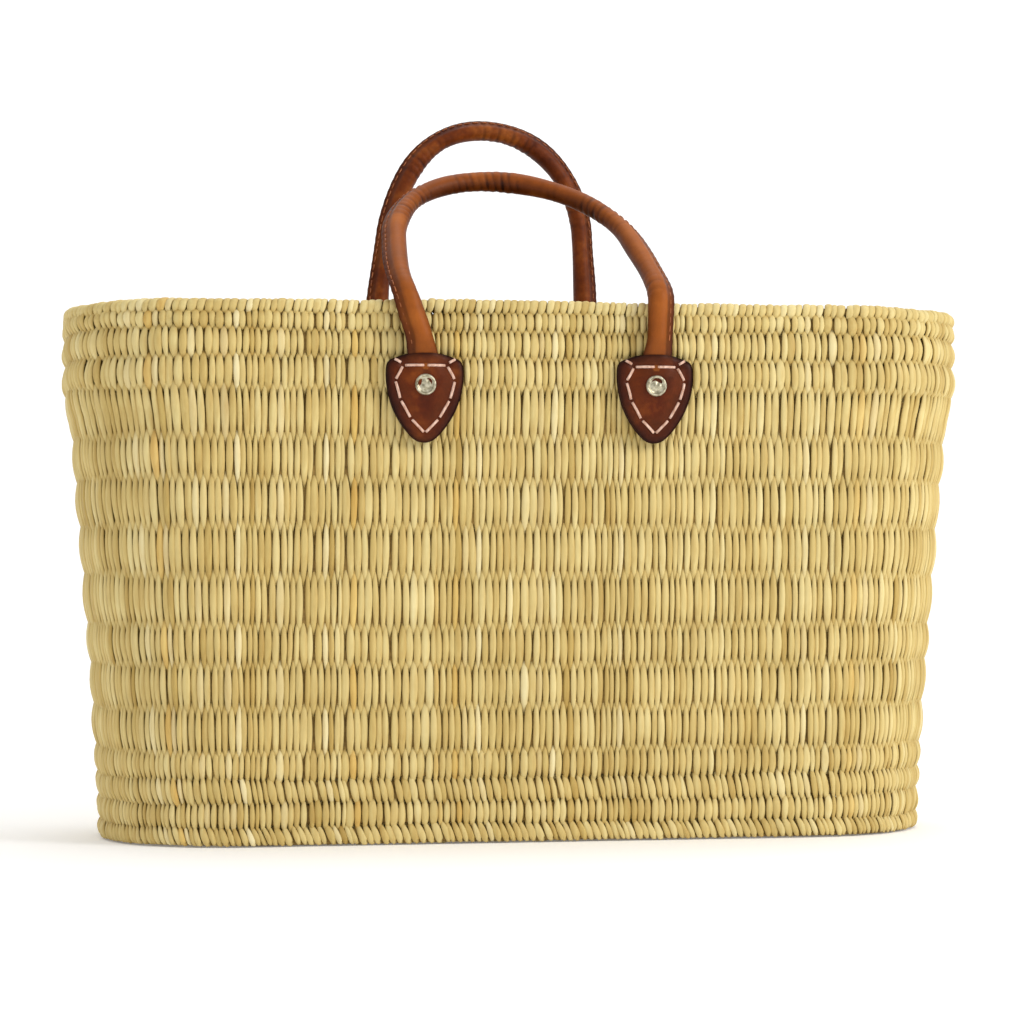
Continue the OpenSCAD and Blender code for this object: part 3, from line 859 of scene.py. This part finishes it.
def tab_layer(name, side, end, base, thickness, scale):
    """One leather layer: a dished skin with rounded edge. thickness 0 takes the shaped outer face."""
    ox, oz = tab_outline()
    ox, oz = ox * scale, (oz - TAB_CENTRE) * scale + TAB_CENTRE
    # Rings from the back, round the edge and in to the middle of the outer face
    shares = np.concatenate([[0.985, 1.0, 1.0, 0.99, 0.975, 0.955, 0.93], np.linspace(0.90, 0.04, 26)])
    x = ox[None, :] * shares[:, None]
    z = (oz - TAB_CENTRE)[None, :] * shares[:, None] + TAB_CENTRE
    gap = (1 - shares)[:, None] * np.hypot(ox, oz - TAB_CENTRE)[None, :]
    shaped = thickness == 0
    height = tab_relief(x, z, gap) if shaped else thickness * (1 - np.exp(-gap / (0.5 * MM)))
    height[0] = 0
    height[1] = 0.35 * height[2].max() + 0.2 * MM
    height[2] = 0.9 * MM if shaped else thickness * 0.6
    height[3] = height[3] + 0.7 * MM * shaped
    y = TAB_Y + base + height - wall_fall(z)
    verts = np.stack([ENDS[end] * LOOP_R + x, SIDES[side] * y, RIVET_Z + z], -1).reshape(-1, 3)
    quads, caps = grid_faces(*x.shape)
    if SIDES[side] > 0:
        quads, caps = quads[:, ::-1], caps[:, ::-1]
    edge = np.clip(np.exp(-gap / (3.4 * MM)) * 0.85, 0, 1)
    collar = (z > 11 * MM) * (np.abs(x) < 9 * MM)
    # Lighter on a band inside the outline and on the raised collar
    wear = np.clip(0.5 * np.exp(-((gap - 9 * MM) / (5 * MM)) ** 2) + 0.5 * collar, 0, 1)
    return mesh_object(name, verts, quads, caps, facts={"edge": edge, "wear": wear})


def tab_thread(side, end):
    """The stitches of one tab, each a short thread that dives into the leather at both ends."""
    sign = SIDES[side]
    t = np.linspace(0, 1, 9)
    starts, stops = (np.array(ends) for ends in zip(*tab_stitches()))
    flat = starts[:, None, :] + (stops - starts)[:, None, :] * t[None, :, None]
    x, z = flat[..., 0], flat[..., 1]
    ox, oz = tab_outline()
    edge_gap = np.hypot(ox[:, None, None] - x, oz[:, None, None] - z).min(axis=0)
    relief = tab_relief(x, z, edge_gap, dimples=False)
    lift = THREAD_R * (1.05 * np.sin(math.pi * t) ** 0.45 - 0.75)[None, :]
    y = TAB_Y + BACKING_T + relief + lift - wall_fall(z)
    centre = np.stack([ENDS[end] * LOOP_R + x, sign * y, RIVET_Z + z], -1)
    normal = 0 * centre + np.array([0.0, sign, 0.0])
    wide = np.full(centre.shape[:2], THREAD_R)
    return tubes(f"{side}_{end}_tab_stitches", centre, across_strand(centre, normal), normal, wide * 1.12,
                 wide * 0.9, {}, round_angles(10))


def on_rivet_axis(side, end):
    """Maps points about a rivet's own axis, +Z outwards from the basket's middle plane, into the row frame."""
    sign, cx = SIDES[side], ENDS[end] * LOOP_R

    def place(points):
        x, y, out = points.T
        return np.stack([cx + x * -sign, sign * out, RIVET_Z + y], -1)
    return place


# Radius and height of the rivet's two ends, in mm: the tail inside the basket and the dished head outside
RIVET_TAIL = [(0.05, 0), (1.6, 0), (2.7, 0.5), (2.9, 1.2), (2.0, 1.5)]
RIVET_HEAD = [(2.0, -1.5), (5.1, -1.4), (5.5, -0.7), (5.5, 0), (5.25, 0.6), (4.8, 0.85), (4.35, 0.75),
              (4.1, 0.45), (3.9, 0.05), (3.2, -0.15), (2.2, 0.1), (1.2, 0.3), (0.05, 0.2)]


def rivet(side, end):
    tail_y = min(abs(float(corner[1])) for corner in node_box(f"{side}_{end}_inside_patch")) - 2.6 * MM
    face = TAB_Y + BACKING_T + 3.6 * MM
    scaled = [(radius * MM, tail_y + at * MM) for radius, at in RIVET_TAIL]
    scaled += [(radius * MM, face + at * MM) for radius, at in RIVET_HEAD]
    obj = lathe(f"rivet_{side}_{end}", scaled, on_rivet_axis(side, end), 56)
    shake = np.random.default_rng(20 + SIDES[side] + 5 * ENDS[end])
    co = np.array([v.co for v in obj.data.vertices])
    x, z = co[:, 0] - ENDS[end] * LOOP_R, co[:, 2] - RIVET_Z
    turn = np.arctan2(z, x)
    dent = 0.16 * MM * np.sin(2 * turn + shake.uniform(0, 6)) + 0.1 * MM * np.sin(3 * turn + shake.uniform(0, 6))
    dished = (np.abs(co[:, 1]) > face - 0.5 * MM) & (np.hypot(x, z) < 4.0 * MM)
    co[:, 1] += np.where(dished, dent * SIDES[side], 0)
    for vertex, place in zip(obj.data.vertices, co):
        vertex.co = place
    return obj


def inside_patch(side, end):
    """Round leather patch under the tail of a rivet, with a pressed line near its edge."""
    low, high = node_box(f"{side}_{end}_inside_patch")
    near, far = sorted(abs(float(v)) for v in (low[1], high[1]))
    r = float(high[0] - low[0]) / 2
    soft = 0.7 * MM
    profile = [(2.1 * MM, near + 0.2 * MM), (3.2 * MM, near), (r - 4 * MM, near), (r - 3.2 * MM, near + 0.25 * MM),
               (r - 2.4 * MM, near + 0.05 * MM), (r - soft, near), (r - 0.2 * MM, near + soft * 0.4), (r, near + soft),
               (r, far - 0.2 * MM), (r - 0.3 * MM, far), (2.1 * MM, far)]
    obj = lathe(f"{side}_{end}_patch", profile, on_rivet_axis(side, end), 72)
    x = np.array([v.co[0] for v in obj.data.vertices]) - ENDS[end] * LOOP_R
    z = np.array([v.co[2] for v in obj.data.vertices]) - RIVET_Z
    edge = np.clip((np.hypot(x, z) - r + 2.5 * MM) / (2.5 * MM), 0, 1)
    for key, values in (("edge", edge * 0.8), ("wear", 0.3 + 0 * edge)):
        layer = obj.data.attributes.new(key, "FLOAT", "POINT")
        layer.data.foreach_set("value", values.astype(np.float32))
    return obj


for side in SIDES:
    for end in ENDS:
        corner = f"{side}_{end}"
        backing = tab_layer(f"{corner}_tab_backing", side, end, 0.0, BACKING_T, 1.0)
        finish_piece(backing, TAB, nodes=[f"{corner}_tab_inner"])
        front = tab_layer(f"{corner}_tab_front", side, end, BACKING_T, 0, 0.985)
        finish_piece(front, TAB, nodes=[f"{corner}_tab_outer"])
        finish_piece(tab_thread(side, end), THREAD, nodes=[f"{corner}_tab_thread"])
        finish_piece(inside_patch(side, end), TAB, nodes=[f"{corner}_inside_patch"])
        first = side == "front" and end == "left"
        finish_piece(rivet(side, end), METAL, nodes=["rivets"] if first else ())

# The washers keep their CAD shape
for material_slot in frame["nodes"]["rivet_washers"].material_slots:
    material_slot.material = METAL


# ---------------------------------------------------------------- camera, lights, floor
def camera():
    """In front of the basket and left of its middle, a little below half its height."""
    data = bpy.data.cameras.new("camera")
    data.lens = 102.3
    data.sensor_width = 36
    obj = bpy.data.objects.new("camera", data)
    obj.location = (-0.2517, -1.5726, 0.1379)
    obj.rotation_euler = (math.radians(91.27), math.radians(0.21), math.radians(-9.12))
    bpy.context.scene.collection.objects.link(obj)
    bpy.context.scene.camera = obj


def area_light(name, place, target, size, power, colour=(1, 1, 1)):
    """Square light at place, aimed at target."""
    data = bpy.data.lights.new(name, "AREA")
    data.shape = "RECTANGLE"
    data.size = data.size_y = size
    data.energy = power
    data.color = colour
    obj = bpy.data.objects.new(name, data)
    obj.location = place
    way = np.array(target, float) - np.array(place, float)
    flat = math.hypot(way[0], way[1])
    obj.rotation_euler = (math.atan2(flat, -way[2]), 0, math.atan2(-way[0], way[1]))
    bpy.context.scene.collection.objects.link(obj)


def studio():
    """White paper sweep under and behind the basket, a soft world, one key light and two weak ones."""
    turns = np.linspace(0, math.pi / 2, 16)
    bend, far, near, wide = 0.8, 2.2, -9.0, 9.0
    run = [near] + list(far - bend + bend * np.sin(turns)) + [far]
    rise = [0.0] + list(bend - bend * np.cos(turns)) + [4.0]
    left = [(-wide, y, z) for y, z in zip(run, rise)]
    right = [(wide, y, z) for y, z in zip(run, rise)]
    count = len(run)
    quads = [(k, k + count, k + count + 1, k + 1) for k in range(count - 1)]
    sweep = mesh_object("studio_sweep", left + right, quads)
    mat, tree, bsdf = new_material("studio_paper")
    paper = ramp(tree, noise(tree, 6, 2), [(0.0, (0.95, 0.95, 0.95)), (1.0, (0.97, 0.97, 0.97))])
    to_input(tree, paper, bsdf, "Base Color")
    bsdf.inputs["Roughness"].default_value = 0.9
    bsdf.inputs["Emission Color"].default_value = (1, 1, 1, 1)
    bsdf.inputs["Emission Strength"].default_value = 0.13
    sweep.data.materials.append(mat)
    world = bpy.data.worlds.new("studio_world")
    world.use_nodes = True
    back = world.node_tree.nodes["Background"]
    back.inputs["Color"].default_value = (1, 1, 1, 1)
    back.inputs["Strength"].default_value = 0.71
    bpy.context.scene.world = world
    area_light("key", (1.8, -1.45, 1.25), (0, 0, 0.15), 0.8, 28, (1.0, 0.99, 0.975))
    area_light("fill", (-1.8, -1.6, 0.9), (0, 0, 0.15), 1.4, 0.8, (0.95, 0.97, 1.0))
    area_light("top", (0.2, 0.3, 2.0), (0, 0, 0.1), 1.2, 9)


camera()
studio()
bpy.context.scene.view_settings.view_transform = "Standard"
